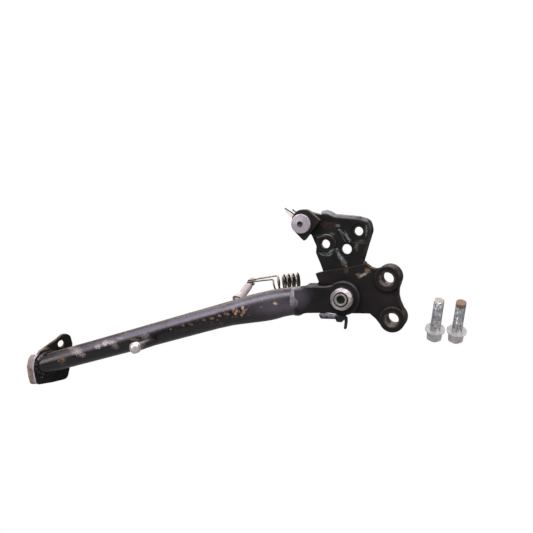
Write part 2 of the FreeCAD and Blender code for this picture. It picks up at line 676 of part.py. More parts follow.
def spring(hook_y, wire_r, coil_r, turns, x_from, x_to, leg_hook_r, bracket_hook_r, lead):
    """Hook round the leg post, coil, hook round the bracket post; lead eases the coil ends."""
    points = []
    # the leg hook lies square to the leg's post
    hook_centre = LEG_POST_HOOK + LEG_POST_DIR * ((hook_y - SPRING_Y) / LEG_POST_DIR.y)
    hook_x = (Vector(1, 0, 0) - LEG_POST_DIR * LEG_POST_DIR.x).normalize()
    hook_z = hook_x.cross(LEG_POST_DIR)
    if hook_z.z < 0:
        hook_z = hook_z * -1
    for k in range(11):
        angle = math.radians(-20 - k * 24)
        points.append(hook_centre + hook_x * (math.cos(angle) * leg_hook_r)
                      + hook_z * (math.sin(angle) * leg_hook_r))

    start = (x_from - COIL_MIDDLE.x) / COIL_DIR.x
    end = (x_to - COIL_MIDDLE.x) / COIL_DIR.x

    def coil(t):
        angle = 2 * math.pi * turns * t
        return (COIL_MIDDLE + COIL_DIR * (start + (end - start) * t)
                + COIL_UP * (coil_r * math.cos(angle))
                - Vector(0, 1, 0) * (coil_r * math.sin(angle)))

    hook_end = points[-1]
    lead_in = coil(0.0) - COIL_DIR * lead
    lead_in.y = SPRING_Y + 0.3
    for k in range(1, 6):
        points.append(hook_end + (lead_in - hook_end) * (k / 5))
    coil_steps = int(round(turns * 12))
    for k in range(1, coil_steps):
        points.append(coil(k / coil_steps))
    lead_out = coil(1.0) + COIL_DIR * lead
    lead_out.y = SPRING_Y + (0.3 if hook_y > SPRING_Y else -0.3)

    def bracket_hook(degrees):
        angle = math.radians(degrees)
        return Vector(BRACKET_POST[0] + math.cos(angle) * bracket_hook_r, hook_y,
                      BRACKET_POST[1] + math.sin(angle) * bracket_hook_r)

    hook_start = bracket_hook(-75)
    for k in range(9):
        points.append(lead_out + (hook_start - lead_out) * (k / 9))
    for k in range(9):
        points.append(bracket_hook(-75 + k * 215 / 8))
    return wire_solid(points, wire_r)


def outer_spring():
    return spring(hook_y=SPRING_Y + 1.1, wire_r=0.95, coil_r=9.1, turns=4.5, x_from=-69.6,
                  x_to=-48.8, leg_hook_r=3.2, bracket_hook_r=3.75, lead=3.2)


def inner_spring():
    return spring(hook_y=SPRING_Y - 0.95, wire_r=0.8, coil_r=5.9, turns=5.5, x_from=-75.4,
                  x_to=-49.4, leg_hook_r=3.0, bracket_hook_r=3.55, lead=2.6)


# ---------------------------------------------------------------- pivot bolt, nut and washers
def pivot_washer(y_from, y_to, outer_face):
    washer = cyl_y(PIVOT, 11.6, y_from, y_to).cut(cyl_y(PIVOT, PIVOT_R + 0.25, -20, 20))
    return soften(washer, 0.35, on_plane(outer_face))


def pivot_nut():
    bore_r = PIVOT_R + 0.02
    nut = hexagon_y(PIVOT, 20.4, NUT_FRONT, NUT_BACK, 0.26)
    nut = nut.common(cone_y(PIVOT, 7.3, 17.3, NUT_FRONT, NUT_FRONT + 10.0))
    nut = nut.common(cyl_y(PIVOT, 10.4, NUT_FRONT - 1, NUT_BACK + 1))
    nut = nut.cut(cyl_y(PIVOT, bore_r, -40, 0))
    nut = nut.cut(cone_y(PIVOT, 6.9, bore_r, NUT_FRONT - 0.01, NUT_FRONT + 1.6))
    return merged(nut)


def pivot_bolt():
    """Hex head at the rear, blind hole in the front end."""
    front = NUT_FRONT - 1.8
    thread_r = PIVOT_R - 0.35
    hole_r = 3.9
    bolt = cyl_y(PIVOT, PIVOT_R, NUT_BACK - 1.0, WASHER_BACK + 2)
    bolt = bolt.fuse([
        cyl_y(PIVOT, thread_r, front, NUT_BACK - 1.0),
        hexagon_y(PIVOT, 17.0, WASHER_BACK, WASHER_BACK + 7.2).common(
            cone_y(PIVOT, 12.8, 7.6, WASHER_BACK, WASHER_BACK + 9.0))])
    bolt = bolt.cut(cyl_y(PIVOT, hole_r, front - 1, front + 6.5))
    bolt = merged(bolt.cut(cone_y(PIVOT, 4.7, hole_r, front - 0.05, front + 0.8)))

    def front_rim(edge):
        return (is_circle(edge) and abs(edge.Curve.Radius - thread_r) < 0.01
                and abs(edge.CenterOfMass.y - front) < 0.02)

    return soften(bolt, 0.5, front_rim)


# ---------------------------------------------------------------- switch striker under the fork
# x, z, corner radius
STRIKER_OUTLINE = [
    (-22.8, -14.6, 1.5), (-20.6, -19.9, 2.5), (-6.4, -19.6, 1.0), (-2.6, -17.6, 0.8),
    (-4.4, -15.35, 0.5), (-8.0, -15.9, 0.5), (-12.5, -15.2, 0.5),
]
LUG_OUTLINE = [
    (-7.6, -16.9, 0.6), (-5.2, -22.0, 0.8), (-0.6, -22.3, 0.8), (1.2, -20.6, 0.6),
    (0.6, -17.0, 0.6),
]
LEAF_OUTLINE = [
    (-3.2, -15.6, 0.3), (-2.4, -17.0, 0.5), (1.5, -18.0, 0.8), (2.3, -21.0, 0.8),
    (1.6, -28.4, 0.9), (3.8, -28.6, 0.9), (4.7, -21.5, 1.2), (4.5, -18.0, 1.6),
    (3.0, -16.2, 1.2),
]
STRIKER_FRONT = -EAR_OUT - 1.2
RIVETS = ((-17.4, -17.4), (-10.8, -17.5))


def striker_tab(fork):
    tab = prism_y(STRIKER_OUTLINE, STRIKER_FRONT, -EAR_OUT + 3.8)
    tab = soften(tab, 0.9, on_plane(STRIKER_FRONT))
    tab = tab.fuse(prism_y(LUG_OUTLINE, -EAR_OUT - 0.8, -EAR_OUT + 3.4))
    return merged(tab.cut(fork))


def striker_leaf(fork, tab):
    return largest(prism_y(LEAF_OUTLINE, -EAR_OUT - 0.6, -EAR_OUT + 3.0).cut(fork).cut(tab))


def striker_rivets():
    """Domed heads on the front of the tab."""
    return Part.makeCompound([
        Part.makeSphere(2.3, Vector(x, -EAR_OUT - 0.2, z)).common(
            cyl_y((x, z), 2.1, -EAR_OUT - 4, STRIKER_FRONT))
        for x, z in RIVETS])


# ---------------------------------------------------------------- loose mounting bolts
LOOSE_DIR = Vector(0.132, -0.473, 0.871).normalize()
LOOSE_SEATS = (Vector(79.6, 50.2, -35.4), Vector(99.8, 55.8, -37.0))   # under each head
LOOSE_LENGTH = 35.0
HEAD_H = 11.0
THREAD_PITCH = 1.5


def mounting_bolt(seat):
    """Flange head, plain neck and ring-shaped threads, revolved; then the hexagon."""
    # radius, distance along the axis from the seat
    profile = [(0.0, -HEAD_H), (6.6, -HEAD_H), (7.0, -10.6), (7.0, -3.2), (7.6, -3.2),
               (9.6, -1.0), (9.6, 0.0), (5.0, 0.0), (5.0, 11.0), (4.75, 11.3)]
    z = 11.6
    while z < LOOSE_LENGTH - 2.0:
        profile += [(4.95, z + 0.55), (4.95, z + 0.75), (4.25, z + 1.3)]
        z += THREAD_PITCH
    profile += [(4.9, z + 0.5), (4.1, LOOSE_LENGTH), (0.0, LOOSE_LENGTH)]
    side = LOOSE_DIR.cross(Vector(0, 0, 1)).normalize()
    other_side = LOOSE_DIR.cross(side).normalize()
    points = [seat + LOOSE_DIR * along + side * radius for radius, along in profile]
    points.append(points[0])
    bolt = Part.Face(Part.makePolygon(points)).revolve(seat, LOOSE_DIR, 360)

    head_end = seat - LOOSE_DIR * HEAD_H
    corner_r = 8.08
    corners = []
    for i in range(7):
        angle = i * math.pi / 3 + 0.35
        corners.append(head_end + side * (corner_r * math.cos(angle))
                       + other_side * (corner_r * math.sin(angle)))
    hexagon = Part.Face(Part.makePolygon(corners)).extrude(LOOSE_DIR * 8.6)
    hexagon = hexagon.common(Part.makeCone(7.4, 10.6, 9.0, head_end, LOOSE_DIR))
    return merged(bolt.fuse(hexagon))


# ---------------------------------------------------------------- build and save
bracket = bracket_body()
sheet = upper_plate()
save("bracket_body", bracket)
save("pivot_bushing", pivot_bushing())
save("upper_plate", sheet)
save("plate_weld_right", plate_weld_right(sheet, bracket))
save("plate_weld_rear", plate_weld_rear())

save("guide_tab", guide_tab())
save("guide_bolt", guide_bolt())
save("guide_nut", guide_nut())
save("guide_washer", guide_washer())
save("wire_clip", wire_clip())
save("clip_strip", clip_strip(sheet))

behind = behind_foot()
solid_tube = tube_loft(0.0, 0.0).cut(behind)     # also trims what is welded to the tube
fork = leg_fork()
foot = foot_plate()
save("leg_fork", fork)
save("leg_tube", merged(solid_tube.cut(tube_loft(TUBE_WALL, TUBE_WALL * 1.03))))
save("fork_weld", fork_weld(solid_tube, fork))
save("foot_plate", foot)
save("foot_weld", foot_weld(solid_tube, foot, behind))
save("kick_peg", kick_peg(solid_tube))

save("leg_spring_post", leg_spring_post(solid_tube))
save("post_weld", post_weld(solid_tube))
save("bracket_spring_post", bracket_spring_post())
save("outer_spring", outer_spring())
save("inner_spring", inner_spring())

save("washer_front", pivot_washer(NUT_BACK, -EAR_OUT, NUT_BACK))
save("washer_rear", pivot_washer(EAR_OUT, WASHER_BACK, WASHER_BACK))
save("pivot_nut", pivot_nut())
save("pivot_bolt", pivot_bolt())

striker = striker_tab(fork)
save("striker_tab", striker)
save("striker_leaf", striker_leaf(fork, striker))
save("striker_rivets", striker_rivets())
save("mounting_bolts", Part.makeCompound([mounting_bolt(seat) for seat in LOOSE_SEATS]))
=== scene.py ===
# A pivoting stand leg on its mounting bracket, with springs, bolts, a kick peg and a foot
# plate. The script paints the pieces and sets up the floor, world, lights and camera.
# +X is right, -Y is the front and +Z is up. The frame's origin is the upper mounting bore.
# The pivot axis runs along Y and the leg reaches left and down from it to the foot.
import bpy
import math
from functools import cached_property
from mathutils import Vector, Matrix


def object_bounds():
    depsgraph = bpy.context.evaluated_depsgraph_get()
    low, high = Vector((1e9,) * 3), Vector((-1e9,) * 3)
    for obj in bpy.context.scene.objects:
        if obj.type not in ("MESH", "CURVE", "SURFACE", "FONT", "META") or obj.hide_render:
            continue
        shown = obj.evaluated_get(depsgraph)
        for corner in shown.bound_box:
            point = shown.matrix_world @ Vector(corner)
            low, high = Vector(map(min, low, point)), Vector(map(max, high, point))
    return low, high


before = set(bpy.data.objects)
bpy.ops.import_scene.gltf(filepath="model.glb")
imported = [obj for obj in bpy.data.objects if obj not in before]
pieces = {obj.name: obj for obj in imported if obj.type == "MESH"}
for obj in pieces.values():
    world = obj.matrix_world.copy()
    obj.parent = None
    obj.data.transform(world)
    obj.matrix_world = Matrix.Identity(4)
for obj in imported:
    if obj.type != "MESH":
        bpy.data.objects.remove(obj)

MM = 0.001


def metres(point):
    return tuple(value * MM for value in point)


def read_bounds():
    return [list(map(float, corner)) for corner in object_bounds()]


rest_bounds = read_bounds()

# Upper mounting bore seen from the pivot. All paint is placed in mm from the pivot.
UPPER_BORE = (40.2, 4.5, 19.0)
SHIFT = Vector(metres(UPPER_BORE))

TAN = (0.33, 0.205, 0.11)
SILVER = (0.36, 0.32, 0.325)
DUST = (0.16, 0.125, 0.105)

EDGE_ANGLE = math.radians(34)  # sharper edges are split


# ------------------------------------------------------------ material kit
class Paint:
    """A base coat with masked layers painted over it. Masks run from 0 to 1."""

    def __init__(self, name, color, rough, metal=0.0, spec=0.5):
        self.material = bpy.data.materials.new(name)
        self.material.use_nodes = True
        self.tree = self.material.node_tree
        self.shader = self.tree.nodes["Principled BSDF"]
        self.shader.inputs["Specular IOR Level"].default_value = spec
        self.shader.inputs["Coat Roughness"].default_value = 0.2
        self.color = self.constant("ShaderNodeRGB", (*color, 1))
        self.rough = self.constant("ShaderNodeValue", rough)
        self.metal = self.constant("ShaderNodeValue", metal)
        self.bumped = None

    def add(self, kind, inputs=None, output=0, **settings):
        """Add a node, set or link its inputs, and return one of its outputs."""
        node = self.tree.nodes.new(kind)
        for key, value in settings.items():
            setattr(node, key, value)
        for key, value in (inputs or {}).items():
            if isinstance(value, bpy.types.NodeSocket):
                self.tree.links.new(value, node.inputs[key])
            else:
                node.inputs[key].default_value = value
        return node.outputs[output]

    def constant(self, kind, value):
        socket = self.add(kind)
        socket.default_value = value
        return socket

    def calc(self, operation, a, b, clamp=False):
        return self.add("ShaderNodeMath", {0: a, 1: b}, operation=operation, use_clamp=clamp)

    def vector(self, operation, a, b):
        return self.add("ShaderNodeVectorMath", {0: a, 1: b}, operation=operation)

    def dot(self, a, b):
        return self.add("ShaderNodeVectorMath", {0: a, 1: b}, "Value", operation="DOT_PRODUCT")

    def length(self, value):
        return self.add("ShaderNodeVectorMath", {0: value}, "Value", operation="LENGTH")

    @cached_property
    def coords(self):
        """Position measured from the pivot."""
        return self.vector("ADD", self.add("ShaderNodeTexCoord", output="Object"), tuple(SHIFT))

    @cached_property
    def normal(self):
        return self.add("ShaderNodeNewGeometry", output="Normal")

    def offset(self, point):
        """Position measured from a point given in mm."""
        return self.vector("SUBTRACT", self.coords, metres(point))

    def radius(self, position):
        """Distance from an axis along Y."""
        return self.length(self.vector("MULTIPLY", position, (1, 0, 1)))

    def noise(self, scale, detail=4.0, rough=0.6, stretch=(1, 1, 1)):
        return self.add("ShaderNodeTexNoise", {
            "Vector": self.vector("MULTIPLY", self.coords, stretch),
            "Scale": scale, "Detail": detail, "Roughness": rough})

    def ramp(self, value, band):
        """0 at the first end of the band, rising to 1 at the second."""
        return self.add("ShaderNodeMapRange",
                        {"Value": value, "From Min": band[0], "From Max": band[1]})

    def span(self, distance, start, end):
        """0 at start, rising to 1 at end, both in mm."""
        return self.ramp(distance, metres((start, end)))

    def speckle(self, scale, band, **noise):
        return self.ramp(self.noise(scale, **noise), band)

    def facing(self, toward, band):
        """1 where the surface faces a direction."""
        return self.ramp(self.dot(self.normal, toward), band)

    def near(self, centre, radii, scale, wobble, soft, axis=None):
        """1 inside an uneven blob, sized in mm; axis = (x, z) turns its first radius."""
        position = self.offset(centre)
        if axis:
            size = math.hypot(*axis)
            cos, sin = axis[0] / size, axis[1] / size
            turned = (cos, 0, sin), (0, 1, 0), (-sin, 0, cos)
            position = self.add("ShaderNodeCombineXYZ", {
                i: self.dot(position, row) for i, row in enumerate(turned)})
        position = self.vector("MULTIPLY", position, tuple(1.0 / (r * MM) for r in radii))
        uneven = self.calc("SUBTRACT", self.noise(scale, detail=3.0), 0.5)
        uneven = self.calc("MULTIPLY", uneven, wobble * 2)
        reach = self.calc("ADD", self.length(position), uneven)
        return self.ramp(reach, (1.0 + soft / 2, 1.0 - soft / 2))

    def product(self, first, *factors):
        for factor in factors:
            first = self.calc("MULTIPLY", first, factor, clamp=True)
        return first

    def blend(self, mask, old, new):
        # inputs 2 and 3 of a Mix node are its two floats
        return self.add("ShaderNodeMix", {0: mask, 2: old, 3: new}, data_type="FLOAT")

    def layer(self, *masks, color, rough, metal=None, strength=None):
        """Paint a new surface where all the masks overlap."""
        if strength is not None:
            masks += (strength,)
        mask = self.product(*masks)
        # inputs 6 and 7 and output 2 of a Mix node are its colours
        self.color = self.add("ShaderNodeMix", {0: mask, 6: self.color, 7: (*color, 1)}, 2,
                              data_type="RGBA")
        self.rough = self.blend(mask, self.rough, rough)
        if metal is not None:
            self.metal = self.blend(mask, self.metal, metal)

    def patch(self, centre, radii, color, strength, rough, metal=0.0,
              scale=620.0, wobble=1.1, soft=0.5, axis=None):
        """Paint an uneven, broken blob."""
        grain = self.speckle(scale * 1.3, band=(0.36, 0.58), rough=0.7)
        self.layer(self.near(centre, radii, scale, wobble, soft, axis), grain,
                   color=color, rough=rough, metal=metal, strength=strength)

    def bump(self, scale, strength, depth=0.4, detail=4.0):
        """Roughen the surface with noise, depth in mm, over any earlier bump."""
        inputs = {"Height": self.noise(scale, detail), "Strength": strength,
                  "Distance": depth * MM}
        if self.bumped is not None:
            inputs["Normal"] = self.bumped
        self.bumped = self.add("ShaderNodeBump", inputs)

    def apply(self, *names):
        """Link the finished layers to the shader and give the pieces this material."""
        results = {"Base Color": self.color, "Roughness": self.rough,
                   "Metallic": self.metal, "Normal": self.bumped}
        for key, socket in results.items():
            if socket is not None:
                self.tree.links.new(socket, self.shader.inputs[key])
        for name in names:
            slots = pieces[name].data.materials
            slots.clear()
            slots.append(self.material)


def dark_paint(name, base, rough, dust, spec=0.3):
    """Near-black paint with broad lighter clouds and dust on its upper faces."""
    mat = Paint(name, base, rough, spec=spec)
    mat.layer(mat.speckle(38, band=(0.35, 0.75)),
              color=(base[0] * 1.9, base[1] * 1.75, base[2] * 1.75), rough=rough + 0.10)
    mat.layer(mat.facing((0, -0.15, 1), band=(0.62, 0.97)),
              mat.speckle(420, band=(0.38, 0.62), detail=5.0),
              color=DUST, rough=0.75, strength=dust)
    mat.bump(900, strength=0.10)
    return mat


# ------------------------------------------------------------ bracket side
def paint_bracket():
    mat = dark_paint("BracketPaint", (0.0060, 0.0052, 0.0052), rough=0.38, dust=0.22, spec=0.20)
    mat.patch((17.6, -5.2, 21.6), (4.4, 6, 1.3), color=(0.36, 0.34, 0.32), strength=0.9,
              rough=0.35, metal=0.5, wobble=0.8, axis=(0.86, 0.5))
    mat.patch((21.8, -5.0, 26.0), (2.6, 6, 2.2), color=(0.17, 0.11, 0.055), strength=0.8,
              rough=0.7, wobble=1.0)
    mat.patch((13.5, -5.2, 21.8), (2.6, 6, 1.5), color=(0.16, 0.12, 0.09), strength=0.7,
              rough=0.5)
    mat.patch((2.0, -5.2, 25.5), (2.4, 6, 3.0), color=(0.055, 0.035, 0.014), strength=0.7,
              rough=0.7)
    mat.patch((-20.0, -5.2, 18.0), (4.5, 6, 4.0), color=(0.014, 0.009, 0.009), strength=0.6,
              rough=0.6, scale=300)
    mat.layer(mat.facing((0.75, 0, 0.66), band=(0.72, 0.98)),
              mat.speckle(260, band=(0.45, 0.62)),
              color=(0.10, 0.065, 0.05), rough=0.7, strength=0.7)
    # the two mounting bores: bare inside, with a worn ring around each
    for x, z in ((UPPER_BORE[0], UPPER_BORE[2]), (45.3, -18.4)):
        radius = mat.radius(mat.offset((x, 0, z)))
        bore = mat.product(mat.span(radius, 6.2, 6.0), 1.0)
        mat.layer(bore, color=(0.20, 0.178, 0.168), rough=0.45, metal=0.6)
        mat.layer(bore, mat.speckle(420, band=(0.52, 0.66)),
                  color=(0.25, 0.17, 0.11), rough=0.7, metal=0.2)
        mat.layer(mat.span(radius, 7.8, 7.4), mat.span(radius, 6.0, 6.4),
                  mat.speckle(300, band=(0.4, 0.6)),
                  color=(0.10, 0.08, 0.075), rough=0.5, strength=0.5)
    mat.bump(160, strength=0.15, depth=0.8, detail=3)
    mat.apply("bracket_body")


# x, y, z, half length, half height, colour, strength
PLATE_PATCHES = (
    (-25.0, 3.8, 56.0, 5.6, 1.2, (0.045, 0.045, 0.042), 0.7),
    (-14.2, 3.6, 58.2, 3.0, 1.5, (0.075, 0.068, 0.060), 0.8),
    (-0.8, 4.4, 29.6, 1.5, 2.0, (0.16, 0.13, 0.07), 0.8),
    (-8.6, 4.6, 66.2, 2.2, 1.2, (0.14, 0.16, 0.15), 0.85),
    (-17.0, 4.6, 66.3, 8.0, 3.2, (0.026, 0.012, 0.011), 0.9),
    (13.0, 4.6, 50.6, 5.0, 0.9, (0.05, 0.055, 0.050), 0.7),
    (18.4, 4.6, 62.0, 1.2, 5.0, (0.095, 0.10, 0.085), 0.8),
    (9.4, 4.6, 46.4, 1.8, 3.6, (0.07, 0.062, 0.045), 0.8),
    (14.0, 4.6, 52.6, 4.0, 1.0, (0.06, 0.065, 0.055), 0.6),
)
# x, z, half length, half width, colour, strength, (x, z) direction of the length
PLATE_STREAKS = (
    (-4.8, 35.0, 8.4, 1.9, (0.17, 0.195, 0.185), 0.95, (0.52, -0.85)),
    (1.2, 55.2, 6.2, 1.1, (0.105, 0.120, 0.110), 0.9, (0.40, -0.92)),
    (-3.4, 55.8, 5.6, 0.9, (0.055, 0.064, 0.058), 0.85, (0.52, -0.85)),
    (-21.0, 38.9, 5.0, 1.5, (0.16, 0.185, 0.175), 0.9, (1.0, -0.15)),
    (-14.4, 41.0, 4.2, 1.6, (0.14, 0.165, 0.155), 0.9, (0.72, 0.70)),
)
# x, z, radius
PLATE_HOLES = ((-19.7, 48.6, 4.1), (0.3, 44.2, 4.65), (11.3, 61.2, 4.05))


def paint_plate():
    mat = dark_paint("PlatePaint", (0.0060, 0.0062, 0.0056), rough=0.36, dust=0.34, spec=0.20)
    # painted highlight on the lips and bevels that face up and to the front
    mat.layer(mat.facing((0, -0.62, 0.78), band=(0.80, 0.98)),
              mat.speckle(60, band=(0.30, 0.55)),
              color=(0.24, 0.225, 0.25), rough=0.4, strength=0.62)
    # painted highlight on the bevel of the top-left lobe
    mat.layer(mat.near((-18.5, 5.5, 78.6), (7.5, 6, 3.2), scale=300, wobble=0.5, soft=0.6),
              mat.facing((0, -0.5, 0.85), band=(0.55, 0.9)),
              color=(0.19, 0.182, 0.195), rough=0.38, metal=0.1, strength=0.85)
    # painted highlight on the faces turned to the right
    mat.layer(mat.facing((0.86, -0.5, 0.1), band=(0.70, 0.97)),
              mat.speckle(120, band=(0.40, 0.62)),
              color=(0.07, 0.07, 0.062), rough=0.45, strength=0.40)
    # lips of the pressed pad and ribs, rubbed through to a grey-green primer
    for x, y, z, half_length, half_height, color, strength in PLATE_PATCHES:
        mat.patch((x, y, z), (half_length, 4, half_height), color, strength,
                  rough=0.5, scale=420, wobble=0.8, soft=0.7)
    for x, z, half_length, half_width, color, strength, axis in PLATE_STREAKS:
        mat.patch((x, 4.0, z), (half_length, 4, half_width), color, strength,
                  rough=0.5, scale=420, wobble=0.7, soft=0.6, axis=axis)
    for x, z, radius in PLATE_HOLES:
        distance = mat.radius(mat.offset((x, 0, z)))
        mat.layer(mat.span(distance, radius + 0.5, radius + 0.15),
                  mat.speckle(380, band=(0.42, 0.6)),
                  color=(0.16, 0.15, 0.135), rough=0.4, strength=0.5)
    mat.bump(230, strength=0.12, depth=0.6, detail=3)
    mat.apply("upper_plate")


def paint_plate_welds():
    mat = dark_paint("BeadPaint", (0.014, 0.011, 0.009), rough=0.45, dust=0.3)
    mat.layer(mat.speckle(260, band=(0.55, 0.66)), color=(0.085, 0.05, 0.022), rough=0.75)
    mat.bump(700, strength=0.5, depth=0.6)
    mat.apply("plate_weld_right", "plate_weld_rear")


def paint_guide_tab():
    mat = dark_paint("TabPaint", (0.0085, 0.0075, 0.0075), rough=0.36, dust=0.2)
    mat.layer(mat.facing((0.78, 0.0, 0.62), band=(0.80, 0.97)),
              mat.speckle(330, band=(0.35, 0.6)),
              color=(0.19, 0.14, 0.115), rough=0.6, strength=0.75)
    mat.apply("guide_tab")


def paint_guide_bolt():
    mat = Paint("DiscZinc", (0.36, 0.325, 0.355), rough=0.42, metal=0.5)
    mat.layer(mat.speckle(120, band=(0.4, 0.7)), color=(0.30, 0.27, 0.295), rough=0.5)
    mat.layer(mat.near((-46.0, -4.2, 72.5), (5.5, 6, 4.5), scale=200, wobble=0.7, soft=0.8),
              color=(0.66, 0.62, 0.65), rough=0.35, strength=0.6)
    # dark centre
    mat.layer(mat.span(mat.radius(mat.offset((-42.7, 0, 67.3))), 3.2, 2.6),
              color=(0.05, 0.05, 0.045), rough=0.5, metal=0.1, strength=0.9)
    mat.layer(mat.speckle(900, band=(0.62, 0.72)), color=(0.62, 0.58, 0.61), rough=0.35)
    mat.bump(1500, strength=0.08)
    mat.apply("guide_bolt")


def paint_guide_nut():
    mat = Paint("NutZinc", (0.42, 0.40, 0.37), rough=0.45, metal=0.8)
    mat.layer(mat.speckle(300, band=(0.5, 0.65)), color=(0.25, 0.2, 0.15), rough=0.6, metal=0.4)
    mat.apply("guide_nut", "guide_washer")


def paint_spring_posts():
    mat = Paint("PostSteel", (0.42, 0.365, 0.36), rough=0.42, metal=0.35)
    mat.layer(mat.speckle(220, band=(0.50, 0.68)),
              color=(0.29, 0.235, 0.225), rough=0.6, metal=0.2)
    mat.layer(mat.speckle(520, band=(0.64, 0.72)),
              color=(0.16, 0.11, 0.08), rough=0.8, metal=0.0, strength=0.6)
    mat.bump(600, strength=0.3)
    mat.apply("leg_spring_post", "bracket_spring_post", "post_weld")


def paint_springs():
    mat = Paint("SpringWire", (0.040, 0.037, 0.030), rough=0.42, metal=0.4)
    mat.layer(mat.facing((-0.1, -0.30, 0.95), band=(0.60, 0.95)),
              mat.speckle(160, band=(0.25, 0.55)),
              color=(0.50, 0.44, 0.36), rough=0.42, metal=0.4, strength=0.95)
    # brighter wire above a slanted line
    height = mat.dot(mat.offset((-59.5, 0, 7.0)), (-0.148, 0, 0.989))
    mat.layer(mat.span(height, 7.0, 9.2), mat.speckle(240, band=(0.25, 0.5)),
              color=(0.42, 0.36, 0.29), rough=0.42, metal=0.4, strength=0.8)
    mat.layer(mat.speckle(260, band=(0.58, 0.70)),
              color=(0.10, 0.065, 0.03), rough=0.75, metal=0.1, strength=0.6)
    mat.bump(900, strength=0.2)
    mat.apply("outer_spring", "inner_spring")


def paint_clip():
    Paint("ClipWire", (0.055, 0.050, 0.045), rough=0.45, metal=0.5).apply("wire_clip")
    Paint("StripPlastic", (0.62, 0.52, 0.46), rough=0.6).apply("clip_strip")


BOLT_AXIS = Vector((0.132, -0.473, 0.871)).normalized()


def paint_one_bolt(mat, origin, side, limit):
    """Stain one bolt; return its distance along the axis and the mask picking it out."""
    position = mat.offset(origin)
    along = mat.dot(position, BOLT_AXIS)
    chosen = mat.calc(side, mat.dot(position, (1.0, 0.0, -0.15)), limit * MM)
    mat.layer(mat.span(along, 12, 14), mat.span(along, 32, 30), chosen,
              mat.speckle(140, band=(0.40, 0.55)),
              color=(0.16, 0.20, 0.23), rough=0.5, metal=0.3, strength=0.75)
    mat.layer(mat.span(along, 0, 2), chosen,
              mat.speckle(700, band=(0.48, 0.60), stretch=(1, 1, 0.5)),
              color=(0.09, 0.10, 0.10), rough=0.6, metal=0.3, strength=0.8)
    return along, chosen


def paint_mounting_bolts():
    mat = Paint("BoltZinc", (0.60, 0.60, 0.59), rough=0.36, metal=0.75)
    mat.layer(mat.speckle(150, band=(0.45, 0.62)),
              color=(0.42, 0.42, 0.41), rough=0.5, metal=0.6)
    along, left = paint_one_bolt(mat, (79.6, 50.2, -35.4), "LESS_THAN", limit=10.5)
    mat.layer(mat.span(along, 32, 34), left, mat.speckle(500, band=(0.4, 0.6)),
              color=(0.25, 0.2, 0.15), rough=0.6, metal=0.3, strength=0.7)
    along, right = paint_one_bolt(mat, (99.8, 55.8, -37.0), "GREATER_THAN", limit=-8.5)
    mat.layer(mat.span(along, 29.5, 31.5), right,
              color=(0.17, 0.09, 0.045), rough=0.75, metal=0.1, strength=0.9)
    mat.apply("mounting_bolts")


def paint_bushing():
    Paint("BushSteel", (0.35, 0.33, 0.30), rough=0.4, metal=0.8).apply("pivot_bushing")


# ------------------------------------------------------------ leg side
# x, z, half length, half height, colour, strength, metal
FOOT_END_PATCHES = (
    (-276.0, -66.8, 6.2, 3.2, SILVER, 0.65, 0.3),
    (-270.0, -69.6, 4.0, 2.6, (0.26, 0.21, 0.20), 0.8, 0.2),
    (-281.5, -63.8, 3.6, 1.6, (0.24, 0.20, 0.18), 0.7, 0.2),
    (-251.7, -60.2, 3.4, 2.1, SILVER, 0.85, 0.3),
    (-243.8, -57.0, 3.2, 2.4, (0.46, 0.40, 0.40), 0.85, 0.3),
    (-237.0, -55.3, 5.6, 2.1, SILVER, 0.8, 0.3),
    (-232.0, -58.6, 4.0, 2.6, (0.17, 0.13, 0.11), 0.7, 0.1),
    (-228.0, -50.4, 4.0, 1.1, (0.28, 0.23, 0.20), 0.8, 0.2),
    (-199.0, -46.6, 4.6, 3.6, (0.15, 0.135, 0.135), 0.8, 0.1),
    (-210.0, -50.5, 5.0, 1.2, (0.19, 0.14, 0.10), 0.7, 0.0),
)
# x, z, half length, half height, colour, strength
PIVOT_END_PATCHES = (
    (-106.4, -15.0, 1.5, 2.0, TAN, 0.9), (-102.8, -17.0, 1.2, 2.4, TAN, 0.9),
    (-104.5, -19.2, 1.2, 1.4, TAN, 0.9), (-97.0, -13.0, 1.4, 1.5, (0.44, 0.33, 0.24), 1.0),
    (-95.9, -16.6, 1.4, 2.2, TAN, 0.9), (-98.0, -20.4, 1.2, 1.4, TAN, 0.9),
    (-64.6, -7.7, 1.9, 1.3, (0.44, 0.30, 0.20), 1.0),
    (-78.6, -11.6, 1.4, 0.9, (0.13, 0.09, 0.06), 0.9),
    (-113.0, -20.0, 2.4, 1.4, (0.15, 0.10, 0.06), 0.9),
    (-120.0, -22.0, 2.0, 1.2, (0.15, 0.10, 0.06), 0.9),
    (-128.0, -25.0, 2.4, 1.2, (0.11, 0.075, 0.045), 0.9),
    (-136.0, -27.0, 2.0, 1.0, (0.11, 0.075, 0.045), 0.9),
    (-150.0, -32.0, 2.4, 1.0, (0.12, 0.085, 0.055), 0.9),
    (-158.0, -33.4, 1.6, 1.0, (0.12, 0.085, 0.055), 0.9),
    (-171.0, -38.0, 1.1, 0.9, (0.14, 0.10, 0.07), 0.9),
)


